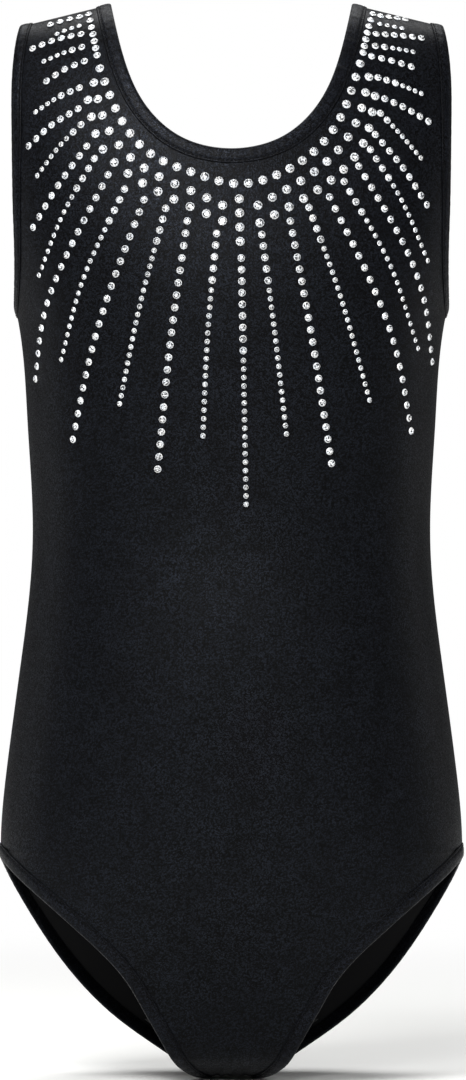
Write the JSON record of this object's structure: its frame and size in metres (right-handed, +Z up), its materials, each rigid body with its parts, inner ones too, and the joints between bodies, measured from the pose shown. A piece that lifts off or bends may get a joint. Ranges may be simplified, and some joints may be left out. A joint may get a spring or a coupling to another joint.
{
  "type": "gymnastics leotard",
  "caption": "Sleeveless child's gymnastics leotard in the shape it has when worn, with bound edges and rays of crystals from the neckline.",
  "frame": {"origin": "bottom centre of the worn shape, under the middle of the crotch", "axes": "+Z up to the shoulders, +X the wearer's left, -Y the front"},
  "size_m": [0.2424, 0.1725, 0.559],
  "materials": {
    "body_knit": "near-black foil-printed nylon-spandex knit, soft sheen",
    "binding_knit": "the same knit, folded",
    "thread": "black polyester topstitching",
    "elastic": "black cotton-covered swimwear elastic",
    "seam_allowance": "overlocked edges",
    "lining": "matt black lining knit",
    "label": "blank white satin",
    "crystal": "clear foiled flat-back crystal"
  },
  "bodies": {
    "root": {"armhole_binding_left": "binding_knit", "armhole_binding_right": "binding_knit", "armhole_elastic_left": "elastic", "armhole_elastic_right": "elastic", "armhole_topstitch_left": "thread", "armhole_topstitch_right": "thread", "back_panel": "body_knit", "care_label": "label", "crotch_seam": "seam_allowance", "crystal_centre_ray": "crystal", "crystal_collar_row_1": "crystal", "crystal_collar_row_2": "crystal", "crystal_collar_row_3": "crystal", "crystal_ray_left_01": "crystal", "crystal_ray_left_02": "crystal", "crystal_ray_left_03": "crystal", "crystal_ray_left_04": "crystal", "crystal_ray_left_05": "crystal", "crystal_ray_left_06": "crystal", "crystal_ray_left_07": "crystal", "crystal_ray_left_08": "crystal", "crystal_ray_left_09": "crystal", "crystal_ray_left_10": "crystal", "crystal_ray_left_11": "crystal", "crystal_ray_left_12": "crystal", "crystal_ray_right_01": "crystal", "crystal_ray_right_02": "crystal", "crystal_ray_right_03": "crystal", "crystal_ray_right_04": "crystal", "crystal_ray_right_05": "crystal", "crystal_ray_right_06": "crystal", "crystal_ray_right_07": "crystal", "crystal_ray_right_08": "crystal", "crystal_ray_right_09": "crystal", "crystal_ray_right_10": "crystal", "crystal_ray_right_11": "crystal", "crystal_ray_right_12": "crystal", "crystal_strap_left": "crystal", "crystal_strap_right": "crystal", "front_panel": "body_knit", "gusset_lining": "lining", "leg_binding_left": "binding_knit", "leg_binding_right": "binding_knit", "leg_elastic_left": "elastic", "leg_elastic_right": "elastic", "leg_topstitch_left": "thread", "leg_topstitch_right": "thread", "neck_binding": "binding_knit", "neck_elastic": "elastic", "neck_topstitch": "thread", "shoulder_seam_left": "seam_allowance", "shoulder_seam_right": "seam_allowance", "side_seam_left": "seam_allowance", "side_seam_right": "seam_allowance"}
  },
  "joints": []
}
